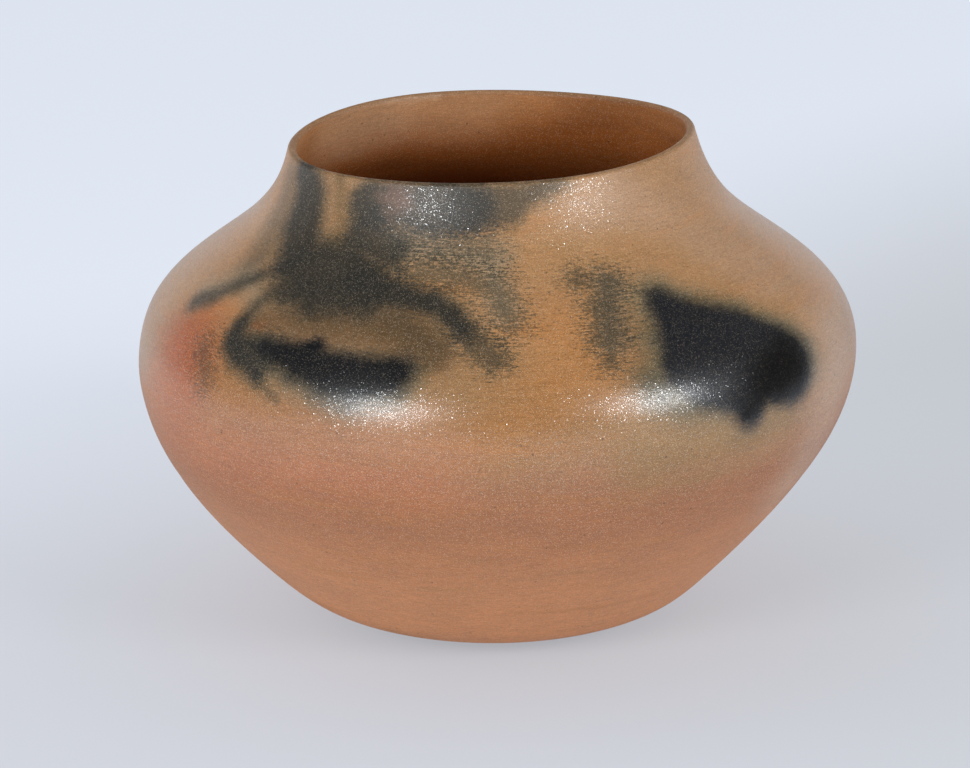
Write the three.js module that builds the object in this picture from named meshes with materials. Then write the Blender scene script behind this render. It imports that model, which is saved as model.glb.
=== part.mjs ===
// A hand-built pottery jar: a base bowl pressed in a shallow mould, wall coils stacked on it and a rim coil.
// Millimetres, +Z up. The jar stands on z = 0 with its mouth up, its smoke clouds face -Y, and +X is their right.
import * as THREE from 'three';

// Radius of the outside at the stations of its outline, from the flat foot up to the lip
const footRadius = 27.7;
const heelRadius = 68.3;
const bellyRadius = 100.9;
const neckRootRadius = 77.5;
const mouthRadius = 56.5;

// Rise from each station to the next
const heelRise = 17.6;
const bellyRise = 56.1;
const shoulderRise = 32.9;
const neckRise = 29.1;

// Angle of the wall at each station, in degrees from level: 90 stands straight up, more leans inward
const footAngle = 10.6;
const heelAngle = 45.9;
const bellyAngle = 90;
const neckRootAngle = 144.5;
const mouthAngle = 104.7;

// Thickness of the fired clay
const floorThickness = 6;
const wallThickness = 4.5;
const lipThickness = 2.6;

// The clay members: how high the base bowl stands, and how much of the height the rim coil takes
const baseBowlHeight = 45;
const rimCoilHeight = 20.4;

// What hand building leaves: the axis sways, and the mouth is out of round and not quite level
const axisSway = 1.3;
const mouthOval = 1.1;
const mouthCorners = 0.5;
const rimLift = 1.7;
const rimDip = 0.6;
const rimRipple = 0.5;

// Directions of those shapes round the jar, in degrees from +X towards +Y
const ovalAngle = 41;
const cornerAngle = 51;
const liftAngle = 13;
const dipAngle = -48;
const rippleAngle = 5;
const swayPhase = 168;

// How finely the curved surfaces are divided
const segmentsRound = 56;
const stepsPerBowl = 8;
const stepsPerCoil = 3;
const stepsPerRim = 4;
const stepsRoundLip = 5;

const bellyHeight = heelRise + bellyRise;
const jarHeight = bellyHeight + shoulderRise + neckRise;
const rimBedHeight = jarHeight - rimCoilHeight;
const lipRadius = lipThickness / 2;

// Share of the chord that each curve's handle takes at its lower and its upper end
const heelFullness = [0.6, 0.51];
const bellyFullness = [0.3, 0.32];
const shoulderFullness = [0.44, 0.4];
const neckFullness = [0.4, 0.42];

// A piece of the outline between two stations, which leaves and meets them at their angles
function outlineCurve(start, end, fullness) {
  const chord = start.point.distanceTo(end.point);
  const leave = start.direction.clone().multiplyScalar(fullness[0] * chord);
  const meet = end.direction.clone().multiplyScalar(-fullness[1] * chord);
  return new THREE.CubicBezierCurve(
    start.point,
    start.point.clone().add(leave),
    end.point.clone().add(meet),
    end.point,
  );
}

function station(radius, height, degrees) {
  const angle = THREE.MathUtils.degToRad(degrees);
  return {
    point: new THREE.Vector2(radius, height),
    direction: new THREE.Vector2(Math.cos(angle), Math.sin(angle)),
  };
}

const foot = station(footRadius, 0, footAngle);
const heel = station(heelRadius, heelRise, heelAngle);
const belly = station(bellyRadius, bellyHeight, bellyAngle);
const neckRoot = station(neckRootRadius, bellyHeight + shoulderRise, neckRootAngle);
const mouth = station(mouthRadius, jarHeight - lipRadius, mouthAngle);

const outline = new THREE.CurvePath();
outline.add(outlineCurve(foot, heel, heelFullness));
outline.add(outlineCurve(heel, belly, bellyFullness));
outline.add(outlineCurve(belly, neckRoot, shoulderFullness));
outline.add(outlineCurve(neckRoot, mouth, neckFullness));

// The clay is thickest in the floor, even up the wall, and thins to the lip through the rim coil
function clayThickness(height) {
  const rising = THREE.MathUtils.smoothstep(height, 0, heelRise);
  const thinning = THREE.MathUtils.smoothstep(height, rimBedHeight, mouth.point.y);
  const body = THREE.MathUtils.lerp(floorThickness, wallThickness, rising);
  return THREE.MathUtils.lerp(body, lipThickness, thinning);
}

function outside(share) {
  return outline.getPoint(share);
}

// The inside surface lies square to the outside one, at the clay's thickness
function inside(share) {
  const point = outside(share);
  const step = 0.001;
  const ahead = outside(Math.min(share + step, 1));
  const behind = outside(Math.max(share - step, 0));
  const direction = ahead.sub(behind).normalize();
  const inward = new THREE.Vector2(-direction.y, direction.x);
  return point.clone().addScaledVector(inward, clayThickness(point.y));
}

// Finds the point of one surface at a height by halving, as both surfaces climb all the way
function atHeight(surface, height) {
  let low = 0;
  let high = 1;
  for (let halving = 0; halving < 40; halving += 1) {
    const middle = (low + high) / 2;
    if (surface(middle).y < height) {
      low = middle;
    } else {
      high = middle;
    }
  }
  return { share: low, point: new THREE.Vector2(surface(low).x, height) };
}

// Points spaced evenly along one surface between two heights
function surfacePoints(surface, from, to, steps) {
  const start = atHeight(surface, from);
  const end = atHeight(surface, to);
  const points = [start.point];
  for (let step = 1; step < steps; step += 1) {
    points.push(surface(THREE.MathUtils.lerp(start.share, end.share, step / steps)));
  }
  points.push(end.point);
  return points;
}

// Wave of a given number of lobes round the jar
function lobes(angle, count, degrees) {
  return Math.cos(count * (angle - THREE.MathUtils.degToRad(degrees)));
}

// Moves a point of the true round shape to where hand building left it
function handBuilt(x, y, z) {
  const angle = Math.atan2(y, x);
  const upperShare = Math.max(0, (z - bellyHeight) / (jarHeight - bellyHeight));
  const rimShare = Math.max(0, (z - rimBedHeight) / rimCoilHeight);
  const outOfRound = mouthOval * lobes(angle, 2, ovalAngle) + mouthCorners * lobes(angle, 3, cornerAngle);
  const stretch = 1 + (outOfRound / mouthRadius) * upperShare ** 2;
  const sway = axisSway * Math.sin((2 * Math.PI * z) / jarHeight - THREE.MathUtils.degToRad(swayPhase));
  const rise =
    rimLift * lobes(angle, 1, liftAngle) +
    rimDip * lobes(angle, 2, dipAngle) +
    rimRipple * lobes(angle, 3, rippleAngle);
  return [x * stretch + sway, y * stretch, z + rise * rimShare ** 1.5];
}

// Turns a closed profile of the clay round the jar's axis
function clayRing(profile) {
  const geometry = new THREE.LatheGeometry(profile, segmentsRound);
  geometry.rotateX(Math.PI / 2);
  const positions = geometry.attributes.position;
  for (let index = 0; index < positions.count; index += 1) {
    const moved = handBuilt(positions.getX(index), positions.getY(index), positions.getZ(index));
    positions.setXYZ(index, ...moved);
  }
  geometry.computeVertexNormals();
  return geometry;
}

// The bowl pressed in the mould: a flat foot, the heel and the lowest wall, up to its bed
function baseBowlProfile() {
  const floorHeight = inside(0).y;
  const outer = surfacePoints(outside, 0, baseBowlHeight, stepsPerBowl);
  const inner = surfacePoints(inside, floorHeight, baseBowlHeight, stepsPerBowl);
  return [new THREE.Vector2(0, 0), ...outer, ...inner.reverse(), new THREE.Vector2(0, floorHeight)];
}

// A coil thinned into a band of the wall between two level beds
function coilProfile(from, to) {
  const outer = surfacePoints(outside, from, to, stepsPerCoil);
  const inner = surfacePoints(inside, from, to, stepsPerCoil);
  return [...outer, ...inner.reverse(), outer[0].clone()];
}

// The rim coil stands on the last bed and is rounded over at the lip
function rimProfile() {
  const outer = surfacePoints(outside, rimBedHeight, mouth.point.y, stepsPerRim);
  const inner = surfacePoints(inside, rimBedHeight, mouth.point.y, stepsPerRim);
  const lipOuter = outer.pop();
  const lipInner = inner.pop();
  const centre = lipOuter.clone().add(lipInner).multiplyScalar(0.5);
  const reach = lipOuter.distanceTo(lipInner) / 2;
  const lip = [];
  for (let step = 0; step <= stepsRoundLip; step += 1) {
    const turn = (Math.PI * step) / stepsRoundLip;
    lip.push(new THREE.Vector2(centre.x + reach * Math.cos(turn), centre.y + reach * Math.sin(turn)));
  }
  return [...outer, ...lip, ...inner.reverse(), outer[0].clone()];
}

function clayMember(name, profile, color, roughness) {
  const material = new THREE.MeshStandardMaterial({ color, roughness, metalness: 0 });
  const mesh = new THREE.Mesh(clayRing(profile), material);
  mesh.name = name;
  return mesh;
}

// The wall coils from the bottom up, each giving the same length of wall, with the colour it was fired to
const wallCoils = [
  { name: 'lower_wall_coil', color: 0xb57b59, roughness: 0.7 },
  { name: 'belly_coil', color: 0xbb8158, roughness: 0.5 },
  { name: 'lower_shoulder_coil', color: 0xab7c56, roughness: 0.42 },
  { name: 'upper_shoulder_coil', color: 0x9a7252, roughness: 0.42 },
  { name: 'lower_neck_coil', color: 0x8c6c54, roughness: 0.42 },
  { name: 'upper_neck_coil', color: 0x94725a, roughness: 0.42 },
];

const jar = new THREE.Group();
jar.add(clayMember('base_bowl', baseBowlProfile(), 0xb37a5b, 0.75));

const firstBed = atHeight(outside, baseBowlHeight).share;
const lastBed = atHeight(outside, rimBedHeight).share;
wallCoils.forEach((coil, index) => {
  const from = outside(THREE.MathUtils.lerp(firstBed, lastBed, index / wallCoils.length)).y;
  const to = outside(THREE.MathUtils.lerp(firstBed, lastBed, (index + 1) / wallCoils.length)).y;
  jar.add(clayMember(coil.name, coilProfile(from, to), coil.color, coil.roughness));
});

jar.add(clayMember('rim_coil', rimProfile(), 0xab8464, 0.45));

export default jar;
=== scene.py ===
import math

import bmesh
import bpy
from mathutils import Matrix, Vector, noise
from mathutils.geometry import interpolate_bezier


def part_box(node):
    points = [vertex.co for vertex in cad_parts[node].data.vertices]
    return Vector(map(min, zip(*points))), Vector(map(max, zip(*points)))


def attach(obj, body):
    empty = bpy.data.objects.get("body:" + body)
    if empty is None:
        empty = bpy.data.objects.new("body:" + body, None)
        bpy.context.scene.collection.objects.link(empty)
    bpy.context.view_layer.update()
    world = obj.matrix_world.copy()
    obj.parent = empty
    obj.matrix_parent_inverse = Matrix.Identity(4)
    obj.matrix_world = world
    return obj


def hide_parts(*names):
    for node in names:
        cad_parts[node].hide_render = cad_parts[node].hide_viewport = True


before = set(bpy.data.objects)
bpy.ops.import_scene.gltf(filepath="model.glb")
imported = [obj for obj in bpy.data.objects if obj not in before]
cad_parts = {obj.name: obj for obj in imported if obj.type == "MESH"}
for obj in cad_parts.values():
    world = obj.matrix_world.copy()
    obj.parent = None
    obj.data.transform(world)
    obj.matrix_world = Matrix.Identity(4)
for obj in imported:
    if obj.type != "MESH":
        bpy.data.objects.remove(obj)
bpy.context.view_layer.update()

# Sizes are in millimetres up to the last step of each shape, and every object is in metres
MM = 0.001


# The jar's outline: radius, height and angle of the wall at each station, in degrees from level
FOOT = (27.7, 0.0, 10.6)
HEEL = (68.3, 17.6, 45.9)
BELLY = (100.9, 73.7, 90.0)
NECK_ROOT = (77.5, 106.6, 144.5)
JAR_HEIGHT = 135.7
LIP_THICKNESS = 2.6
MOUTH = (56.5, JAR_HEIGHT - LIP_THICKNESS / 2, 104.7)

# Each curve between two stations, with the share of its chord that its handles take
CURVES = (
    (FOOT, HEEL, 0.60, 0.51),
    (HEEL, BELLY, 0.30, 0.32),
    (BELLY, NECK_ROOT, 0.44, 0.40),
    (NECK_ROOT, MOUTH, 0.40, 0.42),
)
FLOOR_THICKNESS = 6.0
WALL_THICKNESS = 4.5

# What hand building left: the axis sways, and the mouth is out of round and not quite level.
# Each lobe has its count round the jar, its size in mm and the angle of its first top.
AXIS_SWAY = 1.3
SWAY_PHASE = 168
MOUTH_LOBES = ((2, 1.1, 41), (3, 0.5, 51))
RIM_LOBES = ((1, 1.7, 13), (2, 0.6, -48), (3, 0.5, 5))

# How finely the clay is divided
SEGMENTS_ROUND = 240
POINTS_PER_CURVE = 400
OUTLINE_STEP = 1.6
STEPS_ROUND_LIP = 10
DISC_STEP = 4.0
MERGE_GAP = 0.001

# The share of the wall's depth past which a face between two corners is a level bed, and stays flat
BED_DEPTH = 0.5


def clamp(value, low=0.0, high=1.0):
    return max(low, min(high, value))


def smooth(value, low, high):
    share = clamp((value - low) / (high - low))
    return share * share * (3 - 2 * share)


def mix(first, second, share):
    return first + (second - first) * share


def outline_points():
    """The outside of the wall from the foot up, as closely spaced points of radius and height."""
    points = []
    for start, end, leave, meet in CURVES:
        first = Vector((start[0], start[1], 0))
        last = Vector((end[0], end[1], 0))
        chord = (last - first).length
        start_angle = math.radians(start[2])
        end_angle = math.radians(end[2])
        leave_handle = first + leave * chord * Vector((math.cos(start_angle), math.sin(start_angle), 0))
        meet_handle = last - meet * chord * Vector((math.cos(end_angle), math.sin(end_angle), 0))
        curve = interpolate_bezier(first, leave_handle, meet_handle, last, POINTS_PER_CURVE)
        points.extend(curve if not points else curve[1:])
    return [Vector((point.x, point.y)) for point in points]


def clay_thickness(height, rim_bed):
    body = mix(FLOOR_THICKNESS, WALL_THICKNESS, smooth(height, 0, HEEL[1]))
    return mix(body, LIP_THICKNESS, smooth(height, rim_bed, MOUTH[1]))


def inside_points(outside, rim_bed):
    """The inside of the wall, square to the outside at the clay's thickness."""
    points = []
    for index, point in enumerate(outside):
        ahead = outside[min(index + 1, len(outside) - 1)]
        behind = outside[max(index - 1, 0)]
        along = (ahead - behind).normalized()
        inward = Vector((-along.y, along.x))
        points.append(point + inward * clay_thickness(point.y, rim_bed))
    return points


def at_height(points, height):
    """The point of a climbing row of points at a height."""
    for lower, upper in zip(points, points[1:]):
        if upper.y >= height:
            share = clamp((height - lower.y) / max(upper.y - lower.y, 1e-9))
            return Vector((mix(lower.x, upper.x, share), height))
    return Vector((points[-1].x, height))


def stretch_between(points, low, high):
    """Points one outline step apart along a row, from one height to another."""
    start = at_height(points, low)
    end = at_height(points, high)
    between = [point for point in points if low < point.y < high]
    row = [start] + between + [end]
    length = sum((b - a).length for a, b in zip(row, row[1:]))
    count = max(2, round(length / OUTLINE_STEP))
    spacing = length / count
    picked = [start]
    walked = 0.0
    for a, b in zip(row, row[1:]):
        piece = (b - a).length
        while len(picked) < count and walked + piece >= spacing * len(picked):
            picked.append(a.lerp(b, (spacing * len(picked) - walked) / piece))
        walked += piece
    return picked + [end]


def lobes(angle, shapes):
    return sum(size * math.cos(count * (angle - math.radians(at))) for count, size, at in shapes)


def hand_built(x, y, z, rim_bed):
    """Moves a point of the true round shape to where hand building left it."""
    angle = math.atan2(y, x)
    upper_share = max(0, (z - BELLY[1]) / (JAR_HEIGHT - BELLY[1]))
    rim_share = max(0, (z - rim_bed) / (JAR_HEIGHT - rim_bed))
    stretch = 1 + lobes(angle, MOUTH_LOBES) / MOUTH[0] * upper_share**2
    sway = AXIS_SWAY * math.sin(2 * math.pi * z / JAR_HEIGHT - math.radians(SWAY_PHASE))
    return Vector((x * stretch + sway, y * stretch, z + lobes(angle, RIM_LOBES) * rim_share**1.5))


# The unevenness that scraping and polishing leave on the wall, always inward of the true shape.
# It begins above the foot, by the height where it has its full depth.
SCRAPE_DEPTH = 0.35
SCRAPE_LENGTH = 34.0
SCRAPE_WIDTH = 15.0
SCRAPE_FULL_HEIGHT = 8.0

# The faint crease over the base bowl, and how large the stretches are where it shows
CREASE_DEPTH = 0.14
CREASE_WIDTH = 1.5
CREASE_PATCHES = 50.0
CREASE_SHOWS = 0.6


def scraped(point, crease_height):
    """Draws a point of the wall in by how deep the scraping and the crease are there."""
    where = Vector((point.x / SCRAPE_LENGTH, point.y / SCRAPE_LENGTH, point.z / SCRAPE_WIDTH))
    wave = 0.5 + 0.5 * noise.noise(where)
    crease = math.exp(-(((point.z - crease_height) / CREASE_WIDTH) ** 2))
    patches = clamp(CREASE_SHOWS + noise.noise(Vector((point.x, point.y, 0)) / CREASE_PATCHES))
    depth = (SCRAPE_DEPTH * wave + CREASE_DEPTH * crease * patches) * smooth(point.z, 0, SCRAPE_FULL_HEIGHT)
    share = 1 - depth / max(math.hypot(point.x, point.y), 1)
    return Vector((point.x * share, point.y * share, point.z))


def disc_points(edge):
    """Points from the jar's axis out to the edge of a level disc, without the edge itself."""
    rings = max(1, round(edge.x / DISC_STEP))
    return [Vector((edge.x * ring / rings, edge.y)) for ring in range(rings)]


def lip_points(outer, inner):
    """The rounding over the top of the wall, from its outer edge to its inner one."""
    centre = (outer + inner) / 2
    reach = (outer - inner).length / 2
    turns = [math.pi * step / STEPS_ROUND_LIP for step in range(STEPS_ROUND_LIP + 1)]
    return [centre + reach * Vector((math.cos(turn), math.sin(turn))) for turn in turns]


def bowl_profile(outside, inside, bed):
    """From the axis under the foot, up the outside to the bed, and down the inside to the axis again."""
    outer = stretch_between(outside, outside[0].y, bed)
    inner = stretch_between(inside, inside[0].y, bed)
    outer = disc_points(outer[0]) + outer
    inner = disc_points(inner[0]) + inner
    return [(point, 0.0) for point in outer] + [(point, 1.0) for point in reversed(inner)]


def coil_profile(outside, inside, low, high):
    """A band of the wall between two level beds."""
    outer = [(point, 0.0) for point in stretch_between(outside, low, high)]
    inner = [(point, 1.0) for point in stretch_between(inside, low, high)]
    return outer + inner[::-1]


def rim_profile(outside, inside, low):
    """The last band of the wall, rounded over at the lip."""
    outer = stretch_between(outside, low, outside[-1].y)
    inner = stretch_between(inside, low, inside[-1].y)
    lip = lip_points(outer[-1], inner[-1])
    over = [(point, index / (len(lip) - 1)) for index, point in enumerate(lip)]
    outer = [(point, 0.0) for point in outer[:-1]]
    inner = [(point, 1.0) for point in inner[:-1]]
    return outer + over + inner[::-1]


def clay_piece(name, profile, closed, rim_bed, crease_height):
    """Spins a profile round the jar's axis and gives it its hand-built shape."""
    bm = bmesh.new()
    inside = bm.verts.layers.float.new("inside")
    verts = []
    for point, depth in profile:
        vert = bm.verts.new((point.x, 0, point.y))
        vert[inside] = depth
        verts.append(vert)
    pairs = list(zip(verts, verts[1:]))
    if closed:
        pairs.append((verts[-1], verts[0]))
    edges = [bm.edges.new(pair) for pair in pairs]
    bmesh.ops.spin(
        bm,
        geom=verts + edges,
        cent=(0, 0, 0),
        axis=(0, 0, 1),
        angle=2 * math.pi,
        steps=SEGMENTS_ROUND,
        use_merge=True,
    )
    bmesh.ops.remove_doubles(bm, verts=bm.verts, dist=MERGE_GAP)
    bmesh.ops.recalc_face_normals(bm, faces=bm.faces)
    for vert in bm.verts:
        vert.co = scraped(hand_built(*vert.co, rim_bed), crease_height) * MM
    for face in bm.faces:
        depths = [vert[inside] for vert in face.verts]
        face.smooth = max(depths) - min(depths) < BED_DEPTH
    mesh = bpy.data.meshes.new(name)
    bm.to_mesh(mesh)
    bm.free()
    piece = bpy.data.objects.new(name, mesh)
    bpy.context.scene.collection.objects.link(piece)
    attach(piece, "root")
    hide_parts(name.removesuffix("_clay"))
    return piece


# How finely two points are told apart, in steps to the millimetre
STEPS_PER_MM = 1000


def place_of(point):
    """A point's place in fine steps, which is the same for every piece that shares the point."""
    return tuple(round(number / MM * STEPS_PER_MM) for number in point)


def share_normals(pieces):
    """Gives each point of the wall one normal over all the pieces that meet there, so that no bed shows."""
    totals = {}
    for piece in pieces:
        mesh = piece.data
        for polygon in mesh.polygons:
            if polygon.use_smooth:
                weighted = polygon.normal * polygon.area
                for index in polygon.vertices:
                    place = place_of(mesh.vertices[index].co)
                    totals[place] = totals.get(place, Vector()) + weighted
    for piece in pieces:
        mesh = piece.data
        normals = [polygon.normal.copy() for polygon in mesh.polygons for index in polygon.vertices]
        for polygon in mesh.polygons:
            if polygon.use_smooth:
                for corner in polygon.loop_indices:
                    place = place_of(mesh.vertices[mesh.loops[corner].vertex_index].co)
                    normals[corner] = totals[place].normalized()
        mesh.normals_split_custom_set(normals)


# Smoke clouds, each as strokes on the wall: angle round the jar in degrees, height and half width in mm
NECK_COLUMN = ((-153, 133.5, 5.6), (-147.5, 127, 6.8), (-146, 120.5, 7.6), (-142, 115, 7.2))
COLUMN_FADE = ((-162, 130, 4.5), (-157, 118, 6.0), (-152, 110, 6.0))
SHOULDER_MASS = ((-141, 110, 6.5), (-133, 111.5, 9.5), (-126, 112, 9.0), (-119, 111, 7.0))
SHOULDER_FOOT = ((-134, 105.6, 5.2), (-127, 105.8, 5.4), (-117, 106.5, 4.6))
NECK_PATCH = ((-125, 129, 6.4), (-107, 129, 7.4), (-97, 129, 6.8))
NECK_PATCH_END = ((-97, 129, 6.8), (-87, 130, 5.6), (-79, 133, 3.0), (-71, 134.5, 1.6))
NECK_PATCH_FOOT = ((-124, 121, 6.8), (-116, 118, 6.0))
DARK_BAND = ((-121, 110, 5.2), (-110.5, 109, 5.0), (-104, 108, 4.6), (-99.5, 106, 4.2), (-96.5, 103, 3.6))
BAND_FADE = ((-126, 103.5, 3.0), (-110, 104, 5.0), (-101, 100, 5.0))
BAND_END = ((-96.5, 103, 3.8), (-94, 100.5, 4.2), (-91, 97.5, 4.6))
GRAINY_UPPER = ((-109, 120, 4.0), (-93, 119, 4.0))
GRAINY_LOWER = ((-108, 114, 5.5), (-91, 111, 5.0), (-88, 104, 4.0))
LEFT_SMEAR = ((-156.5, 97.8, 3.4), (-153, 100.3, 3.4), (-149.5, 104, 2.6), (-146, 107, 2.0))
ARC_TOP = ((-139, 105, 3.2), (-140, 102, 2.6), (-139.5, 98, 2.4))
LEFT_ARC = ((-140.5, 98, 2.4), (-139, 94.5, 3.2), (-136, 91.5, 3.6), (-131, 89.2, 3.0))
ARC_TAIL = ((-131, 88, 0.9), (-129, 86, 0.9), (-126, 84, 0.5))
LEFT_BLOT = (
    (-132, 94.8, 3.0),
    (-128, 94.6, 4.4),
    (-123.4, 93.5, 5.5),
    (-118, 92.6, 6.8),
    (-113.5, 91.8, 7.2),
    (-108, 93, 5.8),
    (-106.5, 94.2, 5.0),
)
BLOT_LINK = ((-138, 94.2, 3.8), (-131, 94.6, 4.2))
LEFT_BLOT_BUMP = ((-124, 95, 3.0), (-122, 97, 3.0))
LEFT_HAZE = ((-139, 99.5, 4.0), (-132, 99, 5.0), (-120, 101, 6.0), (-108, 100, 8.0), (-99, 96, 6.5))
LEFT_SPECKLED = ((-145, 91, 4.0), (-142, 84, 4.0))
MIDDLE_SMUDGE = ((-73, 112, 2.6), (-66, 111, 4.2), (-70, 106, 4.6), (-71, 101, 5.0), (-72, 96, 2.9))
RIGHT_BLOT = (
    (-57.5, 106.2, 4.4),
    (-57.2, 103, 5.6),
    (-57, 99, 8.4),
    (-56, 95, 10.2),
    (-49, 94.6, 10.8),
    (-42.5, 91.7, 10.4),
    (-38.7, 87.2, 10.7),
    (-38.5, 84, 7.0),
    (-39, 81.5, 5.0),
)
RIGHT_BLOT_TOP = ((-57, 105, 4.4), (-50, 101.4, 4.8), (-44, 98.4, 5.6))
RIGHT_BLOT_FOOT = ((-60, 92, 6.4), (-57, 88.5, 6.8), (-51, 86, 8.2), (-49.5, 82.5, 6.6), (-49, 79, 5.6))
RIGHT_BLOT_LOBE = ((-48, 86, 6.0), (-43, 83.5, 5.5), (-40, 82, 5.0))
RIGHT_HAZE = ((-67, 105, 4.0), (-65, 97, 5.0), (-67, 90, 5.0))
RIGHT_SMOKE = ((-64, 89, 4.0), (-60, 87, 5.0), (-54, 84, 5.0))
BLOT_DEEP = ((-49.5, 79, 6.0), (-42.5, 85, 9.0), (-38, 87, 10.0))

# A thin place in the neck's smoke, and a few reddish specks under the left arc
THIN_SPOT = ((-118, 131, 3.5), (-116, 131, 3.5))
RED_SPOT = ((-137, 98.6, 2.0), (-135.5, 98.6, 2.0))

# Places where the clay was fired to another colour, as strokes too; the pale grey ones on the right are
# painted sheen
RED_GLOW = ((-151, 88, 15.0), (-149, 86, 15.0))
ORANGE_LEFT = ((-150, 92, 16.0), (-140, 84, 14.0))
OCHRE_PATCH = ((-67, 71, 11.0), (-56, 73, 11.0), (-42, 74, 9.0))
OCHRE_NECK = ((-136, 134, 4.0), (-131, 118, 4.0))
ORANGE_MIDDLE = ((-79, 103, 12.0), (-76, 96, 12.0), (-90, 79, 10.0))
RED_LOW_LEFT = ((-158, 70, 14.0), (-140, 66, 14.0), (-118, 70, 14.0), (-100, 70, 12.0))
# Painted sheen: the clay paled and greyed where a grazing reflection lies on the right neck, shoulder and
# side
PAINTED_SHEEN_NECK = ((-54, 129, 8.0), (-40, 120, 9.0), (-29, 107, 12.0))
PAINTED_SHEEN_RIGHT = ((-24, 84, 13.0), (-27, 66, 15.0), (-30, 50, 14.0))

# Films of thin smoke that only colour the clay
BROWN_FILM = ((-136, 100, 4.0), (-122, 102, 6.0), (-109, 102, 7.5), (-101, 98, 6.0))
GRAINY_FILM = ((-112, 119, 6.0), (-92, 117, 6.0), (-89, 107, 5.0))
SMUDGE_FILM = ((-67, 110, 4.0), (-71, 99, 4.0))
SMEAR_FILM = ((-157, 100, 6.0), (-150, 106, 6.0), (-141, 103, 4.0))

# Painted sheen and a painted highlight streak under the lip inside, and the side of the mouth that lies in
# painted shade
INSIDE_SHEEN = ((98, 131, 8.0), (140, 131, 8.0))
INSIDE_CORNER_SHEEN = ((126, 131, 7.0), (148, 129, 7.0))
INSIDE_HIGHLIGHT_STREAK = ((109, 135.6, 0.5), (117, 135.7, 0.9), (126, 135.6, 0.5))
INSIDE_SHADE = ((15, 122, 26.0), (60, 122, 26.0))


def shade(red, green, blue):
    """A colour given as it shows, from 0 to 255, as the linear colour that a shader takes."""
    shown = (red / 255, green / 255, blue / 255)
    return tuple(part / 12.92 if part < 0.04045 else ((part + 0.055) / 1.055) ** 2.4 for part in shown) + (1,)


class Wire:
    """A value that runs between the nodes of a material. Arithmetic on it adds the Math nodes."""

    def __init__(self, tree, socket=None):
        self.tree = tree
        self.socket = socket

    def node(self, kind, settings=None, inputs=None, output=0):
        """Adds a node. Its settings are set first, and each input then takes a value or a wire."""
        made = self.tree.nodes.new(kind)
        for name, value in (settings or {}).items():
            setattr(made, name, value)
        for name, value in (inputs or {}).items():
            if isinstance(value, Wire):
                self.tree.links.new(value.socket, made.inputs[name])
            else:
                made.inputs[name].default_value = value
        return Wire(self.tree, made.outputs[output] if made.outputs else None)

    def beside(self, output):
        """Another output of the node that this wire comes from."""
        return Wire(self.tree, self.socket.node.outputs[output])

    def maths(self, operation, *values):
        return self.node("ShaderNodeMath", {"operation": operation}, dict(enumerate(values)))

    def __add__(self, other):
        return self.maths("ADD", self, other)

    def __radd__(self, other):
        return self.maths("ADD", other, self)

    def __sub__(self, other):
        return self.maths("SUBTRACT", self, other)

    def __rsub__(self, other):
        return self.maths("SUBTRACT", other, self)

    def __mul__(self, other):
        return self.maths("MULTIPLY", self, other)

    def __rmul__(self, other):
        return self.maths("MULTIPLY", other, self)

    def vector(self, operation, *values, output=0):
        return self.node("ShaderNodeVectorMath", {"operation": operation}, dict(enumerate(values)), output)

    def times(self, size):
        """This vector or colour, scaled by one number or wire."""
        return self.node("ShaderNodeVectorMath", {"operation": "SCALE"}, {0: self, "Scale": size})

    def step(self, low, high):
        """Climbs softly from 0 to 1 as the value goes from low to high."""
        settings = {"interpolation_type": "SMOOTHSTEP"}
        return self.node("ShaderNodeMapRange", settings, {0: self, 1: low, 2: high})

    def parts(self, kind):
        """The first of the three numbers that this vector or colour holds, with the others beside it."""
        return self.node(kind, None, {0: self})

    def paint(self, color):
        """A wire that carries one colour."""
        made = self.node("ShaderNodeRGB")
        made.socket.default_value = color
        return made

    def blend(self, other, share):
        """This colour, with a share of another one laid over it."""
        settings = {"data_type": "RGBA"}
        return self.node("ShaderNodeMix", settings, {0: share, 6: self, 7: other}, 2)

    def multiplied(self, other, share):
        """This colour, with a share of another one multiplied into it."""
        settings = {"data_type": "RGBA", "blend_type": "MULTIPLY"}
        return self.node("ShaderNodeMix", settings, {0: share, 6: self, 7: other}, 2)

    def principled(self, **inputs):
        """A surface. An underscore in a name stands for a blank in the socket's name."""
        named = {name.replace("_", " "): value for name, value in inputs.items()}
        return self.node("ShaderNodeBsdfPrincipled", None, named)

    def covered_by(self, other, share):
        """This surface, with a share of another one laid over it."""
        return self.node("ShaderNodeMixShader", None, {0: share, 1: self, 2: other})


def new_surface(name):
    """A material with no nodes yet, and a wire to start its nodes from."""
    material = bpy.data.materials.new(name)
    material.use_nodes = True
    material.node_tree.nodes.clear()
    return material, Wire(material.node_tree)


def grain(place, sizes, detail, roughness=0.5):
    """Noise round 0 whose waves have the given sizes in mm along x, y and z."""
    scaled = place.vector("DIVIDE", place, sizes)
    wave = scaled.node(
        "ShaderNodeTexNoise",
        {"normalize": True},
        {"Vector": scaled, "Scale": 1.0, "Detail": detail, "Roughness": roughness},
    )
    return wave - 0.5


def on_wall(stroke, outside, rim_bed):
    """The place of a stroke's point in the clay's outer face, in mm."""
    angle, height, _ = stroke
    radius = at_height(outside, height).x
    turn = math.radians(angle)
    return hand_built(radius * math.cos(turn), radius * math.sin(turn), height, rim_bed)


# How far in mm two strokes of one cloud melt into each other
STROKE_MELT = 3.0


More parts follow.
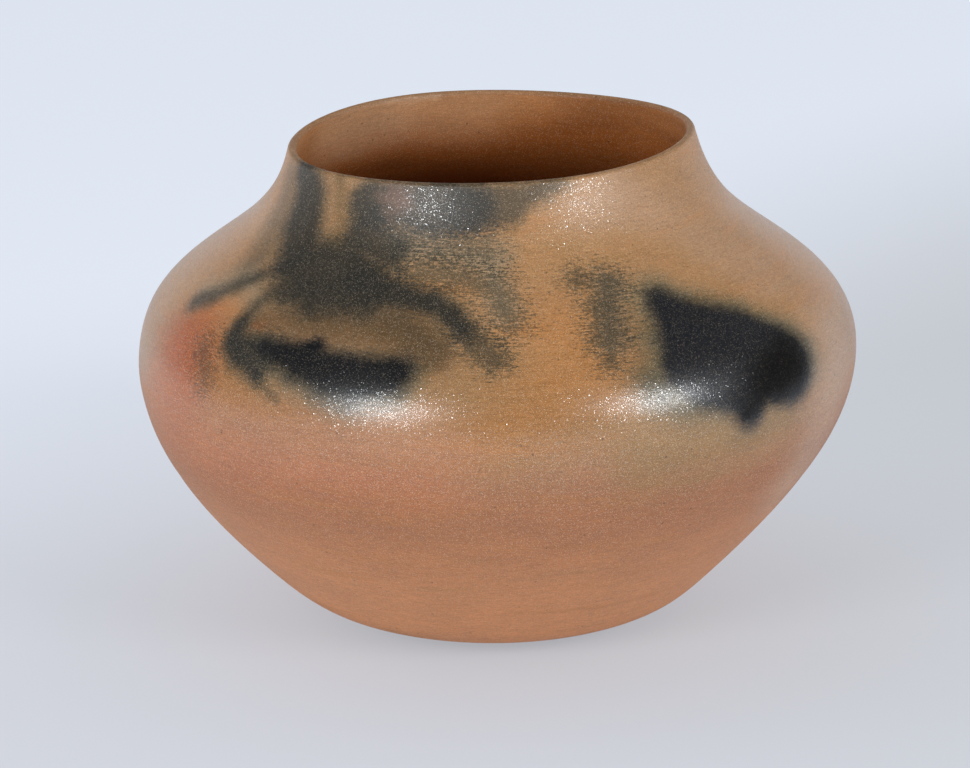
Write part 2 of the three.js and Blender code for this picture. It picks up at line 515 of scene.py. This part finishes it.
def distance_to(place, strokes, outside, rim_bed):
    """How far in mm a place is outside a cloud's strokes, below 0 within them."""
    nearest = None
    for first, last in zip(strokes, strokes[1:]):
        start = on_wall(first, outside, rim_bed)
        along = on_wall(last, outside, rim_bed) - start
        offset = place.vector("SUBTRACT", place, start)
        walked = place.vector("DOT_PRODUCT", offset, along / along.length_squared, output=1)
        share = place.node("ShaderNodeClamp", None, {0: walked})
        foot = place.node("ShaderNodeVectorMath", {"operation": "SCALE"}, {0: along, "Scale": share})
        gap = place.vector("DISTANCE", offset, foot, output=1)
        gap = gap - (share * (last[2] - first[2]) + first[2])
        nearest = gap if nearest is None else nearest.maths("SMOOTH_MIN", nearest, gap, STROKE_MELT)
    return nearest


# The clouds: each one's strokes, the half width of its fade in mm, its share, and how far streaks and specks
# break it up. The brown ones come first, then the blue-black blots on the left and on the right.
BROWN_CLOUDS = (
    (NECK_COLUMN, 4.0, 0.92, 3.0),
    (COLUMN_FADE, 6.0, 0.46, 4.0),
    (SHOULDER_MASS, 4.5, 0.95, 4.0),
    (SHOULDER_FOOT, 4.5, 0.9, 4.0),
    (NECK_PATCH, 3.0, 0.88, 4.0),
    (NECK_PATCH_END, 3.0, 0.7, 4.0),
    (NECK_PATCH_FOOT, 3.5, 0.88, 4.0),
    (DARK_BAND, 3.6, 0.97, 3.0),
    (BAND_FADE, 5.5, 0.4, 4.0),
    (BAND_END, 3.5, 0.68, 11.0),
    (GRAINY_UPPER, 3.2, 0.44, 24.0),
    (GRAINY_LOWER, 3.2, 0.5, 24.0),
    (LEFT_SMEAR, 3.2, 0.74, 2.0),
    (ARC_TOP, 3.4, 0.72, 2.0),
    (LEFT_ARC, 3.2, 0.93, 3.0),
    (ARC_TAIL, 2.0, 0.5, 3.0),
    (BLOT_LINK, 3.6, 0.92, 4.0),
    (LEFT_HAZE, 6.0, 0.14, 5.0),
    (LEFT_SPECKLED, 2.5, 0.4, 18.0),
    (MIDDLE_SMUDGE, 5.0, 0.7, 17.0),
    (RIGHT_HAZE, 5.0, 0.28, 5.0),
)
LEFT_BLOTS = (
    (LEFT_BLOT, 3.6, 1.0, 3.0),
    (LEFT_BLOT_BUMP, 2.4, 1.0, 2.0),
)
RIGHT_BLOTS = (
    (RIGHT_BLOT, 3.6, 1.0, 2.5),
    (RIGHT_BLOT_TOP, 4.4, 1.0, 2.5),
    (RIGHT_BLOT_FOOT, 2.6, 1.0, 2.5),
    (RIGHT_BLOT_LOBE, 2.8, 1.0, 2.5),
    (RIGHT_SMOKE, 4.5, 0.32, 4.0),
)

# Noises: the size of the waves in mm along x, y and z, how many finer ones they add, and how strong those are
SMOKE_EDGES = ((9, 9, 7), 4)
SMOKE_STREAKS = ((2.8, 2.8, 0.3), 3, 0.7)
SMOKE_SPECKS = ((0.8, 0.8, 0.6), 2, 0.7)
SOOT_EDGES = ((16, 16, 8), 3)
THIN_EDGES = ((5, 5, 3), 3)
CLAY_EDGES = ((45, 45, 20), 3)
CLAY_BANDS = ((70, 70, 6), 3, 0.6)
TINT_EDGES = ((20, 20, 8), 3)
SHADE_EDGES = ((30, 30, 6), 3)
BRUSHING = ((24, 24, 5), 4, 0.6)
BURNISH_EDGES = ((60, 60, 9), 3)
SWELLS = ((6, 6, 3), 3)
SURFACE_NOISES = {
    "streaks": ((16, 16, 0.8), 3, 0.6),
    "fibres": ((2.6, 2.6, 0.3), 2, 0.6),
    "mottle": ((22, 22, 9), 4, 0.55),
    "fine": ((0.55, 0.55, 0.4), 2, 0.7),
}

# How far in mm edges wander: of smoke, of tints and places in the smoke, of the clay's colours, of burnish
SMOKE_WANDER = 3.0
TINT_WANDER = 8.0
CLAY_WANDER = 14.0
BURNISH_WANDER = 16.0

# How much of what breaks up the smoke is streaks and how much specks, and how far they break up the haze
STREAK_WEIGHT = 1.4
SPECK_WEIGHT = 1.1
HAZE_BROKEN = 4.0

# The thin haze round each blot: how far it reaches, the heights between which it thins, and how far it thins
LEFT_REACH = (-1, 7)
LEFT_THINS = (94, 100)
LEFT_THINNED = 0.8
RIGHT_REACH = (-1, 9)
RIGHT_THINS = (75, 85)
RIGHT_THINNED = 0.7


def smoke_on(place, height, outside, rim_bed):
    """The shares of brown smoke, of the left and the right blot, and of the thin haze round them."""
    wander = SMOKE_WANDER * grain(place, *SMOKE_EDGES)
    broken_by = STREAK_WEIGHT * grain(place, *SMOKE_STREAKS) + SPECK_WEIGHT * grain(place, *SMOKE_SPECKS)
    covered = []
    reached = []
    for group in (BROWN_CLOUDS, LEFT_BLOTS, RIGHT_BLOTS):
        clear = None
        nearest = None
        for strokes, fade, strength, broken in group:
            gap = distance_to(place, strokes, outside, rim_bed) + wander
            share = (1 - (gap + broken_by * broken).step(-fade, fade)) * strength
            clear = 1 - share if clear is None else clear * (1 - share)
            nearest = gap if nearest is None else nearest.maths("MINIMUM", nearest, gap)
        covered.append(1 - clear)
        reached.append(nearest + broken_by * HAZE_BROKEN)
    left_haze = (1 - reached[1].step(*LEFT_REACH)) * (1 - LEFT_THINNED * height.step(*LEFT_THINS))
    right_low = 1 - RIGHT_THINNED
    right_haze = (1 - reached[2].step(*RIGHT_REACH)) * (right_low + RIGHT_THINNED * height.step(*RIGHT_THINS))
    return covered, left_haze + right_haze


# Colours of the fired clay, outside and inside, of the smoke on it and of the mica
TAN = shade(171, 124, 77)
TERRACOTTA = shade(174, 110, 64)
# The base's paler clay: partly its own tone and partly painted light
PALE_TERRACOTTA_AND_LIGHT = shade(210, 143, 91)
# The colour of the painted sheen on the right neck and side
PAINTED_SHEEN_GREY = shade(190, 158, 132)
RED_CLAY = shade(198, 112, 66)
ORANGE = shade(182, 118, 56)
RED = shade(174, 78, 12)
OCHRE = shade(150, 114, 58)
DEEP_OCHRE = shade(130, 97, 54)
FILM = shade(134, 120, 96)
BROWN = shade(116, 80, 40)
# Inside, partly the clay's own brown: painted light near the mouth and painted shade deep in
INSIDE_TOP_LIT = shade(186, 128, 80)
# The colour of the painted sheen under the lip inside
INSIDE_SHEEN_COLOR = shade(216, 168, 128)
INSIDE_DEEP_SHADED = shade(150, 82, 28)
HAZE_TINT = shade(182, 216, 240)
SMOKE_TINT = shade(212, 234, 228)
BROWN_SMOKE = shade(40, 37, 29)
BLUE_BLACK = shade(23, 24, 28)
LEFT_BLACK = shade(8, 9, 12)
BROWN_BLACK = shade(10, 8, 6)
THIN_SMOKE = shade(138, 98, 76)
MICA = shade(232, 208, 176)

# Tints of the fired clay, films of thin smoke and painted sheen: where each lies, its colour and its share
TINTS = (
    (ORANGE_MIDDLE, ORANGE, 0.6),
    (OCHRE_PATCH, OCHRE, 0.65),
    (OCHRE_NECK, DEEP_OCHRE, 0.95),
    (ORANGE_LEFT, ORANGE, 0.6),
    (RED_GLOW, RED, 0.86),
    (RED_LOW_LEFT, RED_CLAY, 0.45),
    (PAINTED_SHEEN_NECK, PAINTED_SHEEN_GREY, 0.26),
    (PAINTED_SHEEN_RIGHT, PAINTED_SHEEN_GREY, 0.5),
    (RED_SPOT, RED, 0.5),
    (BROWN_FILM, BROWN, 0.8),
    (GRAINY_FILM, FILM, 0.65),
    (SMUDGE_FILM, FILM, 0.35),
    (SMEAR_FILM, FILM, 0.6),
)
TINT_FADE = 0.7

# Heights between which the clay's colour changes, and the bands of other colour round the jar
# The base pales towards the foot, partly its own tone and partly painted light
PALE_AND_LIT_BASE = (0, 58)
TAN_BELLY = (58, 80)
ORANGE_BANDS = (0.02, 0.2)
ORANGE_SHARE = 0.45
OCHRE_BANDS = (0.06, 0.22)
OCHRE_SHARE = 0.35
BELLY_SHADE = 0.15
BELLY_SHADE_FROM = (35, 55)
BELLY_SHADE_TO = (88, 102)

# The inside: the heights between which it pales with painted light, its side in painted shade, how its
# brushing shows, and its places of painted sheen
MOUTH_LIGHT = (115, 135)
MOUTH_SHADE = 0.8
MOUTH_SHADE_FADE = (-26, 8)
BRUSHING_SHOWS = 0.7
BRUSHED_WANDER = 7.0
INSIDE_DEPTH = WALL_THICKNESS - 1.5
INSIDE_SHEENS = ((INSIDE_SHEEN, 0.24), (INSIDE_CORNER_SHEEN, 0.34), (INSIDE_HIGHLIGHT_STREAK, 0.6))

# Over the lip, the attribute "inside" climbs from 0 on the outer face to 1 on the inner one
OUTER_ENDS = (0.4, 1.0)
INNER_STARTS = (0.5, 1.0)
LIP_EDGE_STARTS = (0.1, 0.4)
LIP_EDGE_ENDS = (0.92, 1.0)
LIP_EDGE_DARK = 0.3


def outer_color(place, height, tide, outside, rim_bed):
    """The colour of the clay's outer face, before the smoke, with painted sheen on the right and painted
    light towards the foot.
    """
    color = place.paint(TERRACOTTA)
    # Paler towards the foot: partly the clay's own tone, partly painted light
    color = color.blend(PALE_TERRACOTTA_AND_LIGHT, 1 - height.step(*PALE_AND_LIT_BASE))
    color = color.blend(TAN, tide.step(*TAN_BELLY))
    bands = grain(place, *CLAY_BANDS)
    color = color.blend(ORANGE, bands.step(*ORANGE_BANDS) * ORANGE_SHARE)
    color = color.blend(OCHRE, (0 - bands).step(*OCHRE_BANDS) * OCHRE_SHARE)
    wander = TINT_WANDER * grain(place, *TINT_EDGES)
    for strokes, tint, share in TINTS:
        gap = distance_to(place, strokes, outside, rim_bed) + wander
        reach = strokes[0][2]
        color = color.blend(tint, (1 - gap.step(-reach, reach * TINT_FADE)) * share)
    return color.times(1 - BELLY_SHADE * tide.step(*BELLY_SHADE_FROM) * (1 - tide.step(*BELLY_SHADE_TO)))


def inner_color(place, tide, outside, rim_bed):
    """The colour of the clay's inner face: its own brown, darker below and on one side with painted shade,
    and paler under the lip with painted light and sheen.
    """
    dim = distance_to(place, INSIDE_SHADE, outside, rim_bed) + TINT_WANDER * grain(place, *SHADE_EDGES)
    # Painted light near the mouth, painted shade deeper in and on the shaded side
    lit = tide.step(*MOUTH_LIGHT) * (1 - MOUTH_SHADE * (1 - dim.step(*MOUTH_SHADE_FADE)))
    color = place.paint(INSIDE_DEEP_SHADED).blend(INSIDE_TOP_LIT, lit)
    brushed = grain(place, *BRUSHING)
    color = color.times(1 + BRUSHING_SHOWS * brushed)
    # Painted sheen and a painted highlight streak under the lip
    for strokes, share in INSIDE_SHEENS:
        gap = distance_to(place, strokes, outside, rim_bed) - INSIDE_DEPTH + BRUSHED_WANDER * brushed
        reach = strokes[0][2]
        color = color.blend(INSIDE_SHEEN_COLOR, (1 - gap.step(-reach, reach)) * share)
    return color


# Soot: how the deepest part of the right blot fades, and the thin place in the neck's smoke and its share
SOOT_FADE = (-8, 5)
THIN_FADE = (-3, 3)
THIN_SHARE = 0.5


def smoked(color, place, outer, smoke, outside, rim_bed):
    """The clay's colour under its haze and smoke, and how far a place lies in the deepest soot."""
    (brown, left, right), haze = smoke
    color = color.multiplied(HAZE_TINT, haze * outer)
    color = color.multiplied(SMOKE_TINT, brown * outer)
    color = color.blend(BROWN_SMOKE, brown * outer)
    deep = distance_to(place, BLOT_DEEP, outside, rim_bed) + TINT_WANDER * grain(place, *SOOT_EDGES)
    deepest = 1 - deep.step(*SOOT_FADE)
    soot = place.paint(BLUE_BLACK).blend(LEFT_BLACK, left).blend(BROWN_BLACK, deepest)
    color = color.blend(soot, (left + right) * outer)
    thin = distance_to(place, THIN_SPOT, outside, rim_bed) + TINT_WANDER * grain(place, *THIN_EDGES)
    color = color.blend(THIN_SMOKE, THIN_SHARE * (1 - thin.step(*THIN_FADE)) * outer)
    return color, deepest


# Small dark pores: the grid that they are scattered on, which of its cells hold one, their radius and tone
PORE_CELL = 3.4
PORE_CHANCE = (0.62, 0.7)
PORE_RADIUS = (0.05, 0.13)
PORE_DARK = 0.5

# Mica flecks, fine and coarse: the grid that they are scattered on, the share of its cells that hold one,
# and their least radius as a share of a cell, with how much larger and softer the others are
FINE_MICA = (0.28, 1.0, 0.22)
COARSE_MICA = (0.42, 0.4, 0.16)
FLECK_SPREAD = 0.16
FLECK_SOFT = 0.2
FLECK_CHANCE_SOFT = 0.02
PALE_FLECKS = (0.45, 1.0)

# How the flecks tilt, the small ones least, and how they shine
MICA_TILT = 0.3
TILT_LEAST = 0.35
TILT_MORE = 1.3
CHANCE_MIDDLE = (0.5, 0.5, 0.5)
MICA_ROUGHNESS = 0.16
MICA_IOR = 2.6

# How pale flecks tint the clay, and how much of that the smoke hides
FINE_PALE = 0.4
COARSE_PALE = 0.2
BROWN_HIDES = 0.4
BLACK_HIDES = 0.6
DEEPEST_HIDES = 0.7

# How much of the surface shines as mica: the fine flecks' share, less on the neck, and more where burnished
FINE_SHINES = 0.6
FINE_LESS_ON_NECK = 0.4
MICA_ROUGH = 0.16
MICA_BURNISHED = 0.54


def cells(place, size):
    """Scattered cells of a size in mm: how far each one's point is, with its colour and place beside that."""
    scaled = place.times(1 / size)
    settings = {"voronoi_dimensions": "3D"}
    return scaled.node("ShaderNodeTexVoronoi", settings, {"Vector": scaled, "Scale": 1.0})


def pores(place):
    """Where the small dark pores lie."""
    reach = cells(place, PORE_CELL)
    pick = reach.beside("Color").parts("ShaderNodeSeparateColor")
    return pick.step(*PORE_CHANCE) * (1 - reach.step(*PORE_RADIUS))


def mica(place, cell, filled, radius):
    """Where flecks of one size lie, how pale they show, and which way each one tilts."""
    reach = cells(place, cell)
    seed = reach.beside("Position")
    chance = seed.node("ShaderNodeTexWhiteNoise", {"noise_dimensions": "3D"}, {"Vector": seed}, 1)
    pick = reach.beside("Color").parts("ShaderNodeSeparateColor")
    size = pick.beside(1)
    bright = pick.beside(2)
    edge = radius + FLECK_SPREAD
    fleck = 1 - reach.step(radius + FLECK_SPREAD * size, edge + FLECK_SOFT * size)
    fleck = fleck * (1 - pick.step(filled, filled + FLECK_CHANCE_SOFT))
    pale = fleck * bright.step(*PALE_FLECKS)
    turn = MICA_TILT * (TILT_LEAST + TILT_MORE * size * size)
    tilt = chance.vector("SUBTRACT", chance, CHANCE_MIDDLE).times(turn)
    return fleck, pale, tilt


# Heights between which the belly's brushing gives way to the burnish, and the neck's foot
BURNISHED = (56, 84)
BURNISH_LOST_INSIDE = 0.4
NECK_FOOT = (114, 126)

# How much each noise lightens and darkens the clay
MOTTLE_TONE = 0.3
STREAK_TONE = 0.26
FIBRE_TONE = 0.6
FINE_TONE = 0.75

# How deep in mm each noise goes, the finest one deepest where the clay isn't burnished
SWELL_DEPTH = 0.05
STREAK_DEPTH = 0.014
FIBRE_DEPTH = 0.008
FINE_DEPTH = 0.012
UNBURNISHED_DEPTH = 0.04

# The body of the clay
CLAY_IOR = 1.66
CLAY_ROUGHNESS = 0.62
BURNISH_SMOOTHS = 0.28
NECK_KEEPS_ROUGH = 0.46
NOISE_ROUGHNESS = 0.1
SMOKE_ROUGHNESS = 0.06

# Where the surface is dull: the deepest soot, and the inside
DULL_ROUGHNESS = 0.8
DULL_IOR = 1.2
DULL_SOOT = 0.85
DULL_INSIDE = 0.6


def relief(place, noises, burnish):
    """How high the surface's small unevenness stands, in mm."""
    height = SWELL_DEPTH * grain(place, *SWELLS) + STREAK_DEPTH * noises["streaks"]
    height = height + FIBRE_DEPTH * noises["fibres"]
    return height + (FINE_DEPTH + UNBURNISHED_DEPTH * (1 - burnish)) * noises["fine"]


def toned(color, place, inside, noises):
    """The colour with the noises' tones, the pores and the lip's darker edge on it."""
    tone = 1 + MOTTLE_TONE * noises["mottle"] + STREAK_TONE * noises["streaks"]
    tone = tone + FIBRE_TONE * noises["fibres"] + FINE_TONE * noises["fine"]
    lip_edge = LIP_EDGE_DARK * inside.step(*LIP_EDGE_STARTS) * (1 - inside.step(*LIP_EDGE_ENDS))
    return color.times(tone * (1 - PORE_DARK * pores(place)) * (1 - lip_edge))


def clay_roughness(burnish, neck, brown, noises):
    """Smooth where burnished, less so on the neck, and a little rougher under brown smoke."""
    roughness = CLAY_ROUGHNESS - BURNISH_SMOOTHS * burnish * (1 - NECK_KEEPS_ROUGH * neck)
    roughness = roughness + NOISE_ROUGHNESS * noises["mottle"] + NOISE_ROUGHNESS * noises["streaks"]
    return roughness + SMOKE_ROUGHNESS * brown


def clay_material(outside, rim_bed):
    """Micaceous clay: burnished above the belly, brushed below it, smoked in the firing and full of mica."""
    material, start = new_surface("micaceous_clay_surface")
    place = start.node("ShaderNodeTexCoord", output=3).times(1 / MM)
    height = place.parts("ShaderNodeSeparateXYZ").beside(2)
    inside = start.node("ShaderNodeAttribute", {"attribute_name": "inside"}, output=2)
    outer = 1 - inside.step(*OUTER_ENDS)
    neck = height.step(*NECK_FOOT)
    noises = {name: grain(place, *noise) for name, noise in SURFACE_NOISES.items()}
    burnish = (height + BURNISH_WANDER * grain(place, *BURNISH_EDGES)).step(*BURNISHED)
    burnish = burnish * (1 - BURNISH_LOST_INSIDE * inside)

    tide = height + CLAY_WANDER * grain(place, *CLAY_EDGES)
    color = outer_color(place, height, tide, outside, rim_bed)
    color = color.blend(inner_color(place, tide, outside, rim_bed), inside.step(*INNER_STARTS))
    smoke = smoke_on(place, height, outside, rim_bed)
    brown, left, right = smoke[0]
    black = left + right
    color, deepest = smoked(color, place, outer, smoke, outside, rim_bed)
    color = toned(color, place, inside, noises)

    fine, fine_pale, fine_tilt = mica(place, *FINE_MICA)
    coarse, coarse_pale, coarse_tilt = mica(place, *COARSE_MICA)
    tilt = place.vector("ADD", fine_tilt.times(1 - coarse), coarse_tilt.times(coarse))
    pale = (fine_pale * FINE_PALE + coarse_pale * COARSE_PALE) * (1 - BROWN_HIDES * brown)
    color = color.blend(MICA, pale * (1 - BLACK_HIDES * black) * (1 - DEEPEST_HIDES * deepest))
    shines = place.maths("MAXIMUM", (FINE_SHINES - FINE_LESS_ON_NECK * neck) * fine, coarse)
    shines = shines * (MICA_ROUGH + MICA_BURNISHED * burnish)

    bump = start.node("ShaderNodeBump", None, {"Height": relief(place, noises, burnish), "Distance": MM})
    tilted = bump.vector("NORMALIZE", bump.vector("ADD", bump, tilt))
    roughness = clay_roughness(burnish, neck, brown, noises)
    body = start.principled(Base_Color=color, Roughness=roughness, IOR=CLAY_IOR, Normal=bump)
    flake = start.principled(Base_Color=color, Roughness=MICA_ROUGHNESS, IOR=MICA_IOR, Normal=tilted)
    matte = start.principled(Base_Color=color, Roughness=DULL_ROUGHNESS, IOR=DULL_IOR)
    dull = place.maths("MAXIMUM", black * deepest * DULL_SOOT, DULL_INSIDE * inside)
    surface = body.covered_by(flake, shines).covered_by(matte, dull)
    start.node("ShaderNodeOutputMaterial", None, {"Surface": surface})
    return material


# The plain stage: the floor's own colour and the glow that only the camera sees, near, right and far
FLOOR_RADIUS = 4.0
FLOOR_SEGMENTS = 64
FLOOR_NEAR = shade(226, 229, 236)
FLOOR_FAR = shade(246, 250, 255)
GLOW_NEAR = shade(204, 207, 214)
GLOW_RIGHT = shade(195, 198, 200)
GLOW_FAR = shade(224, 231, 243)
GLOW_SHARE_NEAR = 0.6
GLOW_SHARE_FAR = 0.7
FLOOR_FAR_FROM = (0.05, 0.5)
FLOOR_RIGHT_FROM = (0.0, 0.2)


def floor_material():
    material, start = new_surface("pale_floor")
    across = start.node("ShaderNodeTexCoord", output=3).parts("ShaderNodeSeparateXYZ")
    far = (across.beside(1) - across).step(*FLOOR_FAR_FROM)
    color = start.paint(FLOOR_NEAR).blend(FLOOR_FAR, far)
    matte = start.node("ShaderNodeBsdfDiffuse", None, {"Color": color})
    glow = start.paint(GLOW_NEAR).blend(GLOW_RIGHT, across.step(*FLOOR_RIGHT_FROM)).blend(GLOW_FAR, far)
    pale = start.node("ShaderNodeEmission", None, {"Color": glow})
    camera_ray = start.node("ShaderNodeLightPath", output=0)
    share = camera_ray * (GLOW_SHARE_NEAR + (GLOW_SHARE_FAR - GLOW_SHARE_NEAR) * far)
    start.node("ShaderNodeOutputMaterial", None, {"Surface": matte.covered_by(pale, share)})
    return material


def lay_floor():
    bm = bmesh.new()
    bmesh.ops.create_circle(bm, cap_ends=True, radius=FLOOR_RADIUS, segments=FLOOR_SEGMENTS)
    mesh = bpy.data.meshes.new("floor")
    bm.to_mesh(mesh)
    bm.free()
    mesh.materials.append(floor_material())
    floor = bpy.data.objects.new("floor", mesh)
    bpy.context.scene.collection.objects.link(floor)


# Soft lamps: degrees round from the camera's side and up, metres away and wide, and watts
LAMPS = (
    ("left_softbox", -37, 21, 1.5, 0.58, 9.5),
    ("right_softbox", 50, 21, 1.5, 0.58, 9.5),
)
LAMP_AIM = Vector((0, 0, 0.08))
LAMP_COLOR = (0.94, 0.97, 1.0)

# The sky's strength behind the jar and before it, what its left side adds, and what glossy rays see of it.
# Each pair is where along that direction the sky changes, from -1 to 1.
SKY_COLOR = shade(228, 232, 240)
SKY_BEHIND = 1.0
SKY_BEFORE = 0.3
SKY_BEHIND_FROM = (-0.6, 0.3)
SKY_FROM_LEFT = 0.34
SKY_LEFT_ENDS = (-1, 0.3)
SKY_REFLECTED = 0.08
BACKDROP_STARTS = (0.2, 0.8)
BACKDROP_TOP = (0.1, 0.5)


def hang_lamps():
    for name, turn, rise, distance, width, power in LAMPS:
        turn = math.radians(turn)
        rise = math.radians(rise)
        toward = Vector((math.sin(turn) * math.cos(rise), -math.cos(turn) * math.cos(rise), math.sin(rise)))
        data = bpy.data.lights.new(name, "AREA")
        data.shape = "DISK"
        data.size = width
        data.energy = power
        data.color = LAMP_COLOR
        lamp = bpy.data.objects.new(name, data)
        lamp.location = LAMP_AIM + distance * toward
        lamp.rotation_euler = toward.to_track_quat("Z", "Y").to_euler()
        bpy.context.scene.collection.objects.link(lamp)


def light_world():
    """A pale sky that dims towards the side with the camera, where a studio is dark."""
    world = bpy.data.worlds.new("plain_studio")
    bpy.context.scene.world = world
    world.use_nodes = True
    tree = world.node_tree
    tree.nodes.clear()
    start = Wire(tree)
    across = start.node("ShaderNodeTexCoord", output=0).parts("ShaderNodeSeparateXYZ")
    behind = across.beside(1)
    rise = across.beside(2)
    camera_ray = start.node("ShaderNodeLightPath", output=0)
    glossy_ray = camera_ray.beside(3)
    light = SKY_BEFORE + (SKY_BEHIND - SKY_BEFORE) * behind.step(*SKY_BEHIND_FROM)
    light = light + SKY_FROM_LEFT * (1 - across.step(*SKY_LEFT_ENDS))
    backdrop = behind.step(*BACKDROP_STARTS) * (1 - rise.step(*BACKDROP_TOP))
    reflected = SKY_REFLECTED + (1 - SKY_REFLECTED) * backdrop
    light = light + (reflected - light) * glossy_ray
    strength = light + (1 - light) * camera_ray
    sky = start.node("ShaderNodeBackground", None, {"Color": SKY_COLOR, "Strength": strength})
    start.node("ShaderNodeOutputWorld", None, {"Surface": sky})


# The camera, at the photograph's angle
CAMERA_PLACE = Vector((-2.87, -950, 358.5)) * MM
CAMERA_PITCH = 17.29
CAMERA_ROLL = -0.32
LENS = 130.4
SENSOR_WIDTH = 36.0


def place_camera():
    data = bpy.data.cameras.new("camera")
    data.sensor_fit = "HORIZONTAL"
    data.sensor_width = SENSOR_WIDTH
    data.lens = LENS
    camera = bpy.data.objects.new("camera", data)
    pitched = Matrix.Rotation(math.radians(90 - CAMERA_PITCH), 4, "X")
    rolled = Matrix.Rotation(math.radians(CAMERA_ROLL), 4, "Z")
    camera.matrix_world = Matrix.Translation(CAMERA_PLACE) @ pitched @ rolled
    bpy.context.scene.collection.objects.link(camera)
    bpy.context.scene.camera = camera


# The wall coils, from the bottom up
COILS = (
    "lower_wall_coil",
    "belly_coil",
    "lower_shoulder_coil",
    "upper_shoulder_coil",
    "lower_neck_coil",
    "upper_neck_coil",
)


def build_jar():
    """The base bowl, the wall coils and the rim coil, each between the level beds that its CAD node has."""
    outside = outline_points()
    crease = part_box("base_bowl")[1][2] / MM
    rim_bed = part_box("rim_coil")[0][2] / MM
    inside = inside_points(outside, rim_bed)
    pieces = [clay_piece("base_bowl_clay", bowl_profile(outside, inside, crease), False, rim_bed, crease)]
    for name in COILS:
        low, high = (corner[2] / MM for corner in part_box(name))
        profile = coil_profile(outside, inside, low, high)
        pieces.append(clay_piece(name + "_clay", profile, True, rim_bed, crease))
    pieces.append(clay_piece("rim_coil_clay", rim_profile(outside, inside, rim_bed), True, rim_bed, crease))
    share_normals(pieces)
    clay = clay_material(outside, rim_bed)
    for piece in pieces:
        piece.data.materials.append(clay)


place_camera()
build_jar()
lay_floor()
hang_lamps()
light_world()
bpy.context.scene.view_settings.view_transform = "Standard"
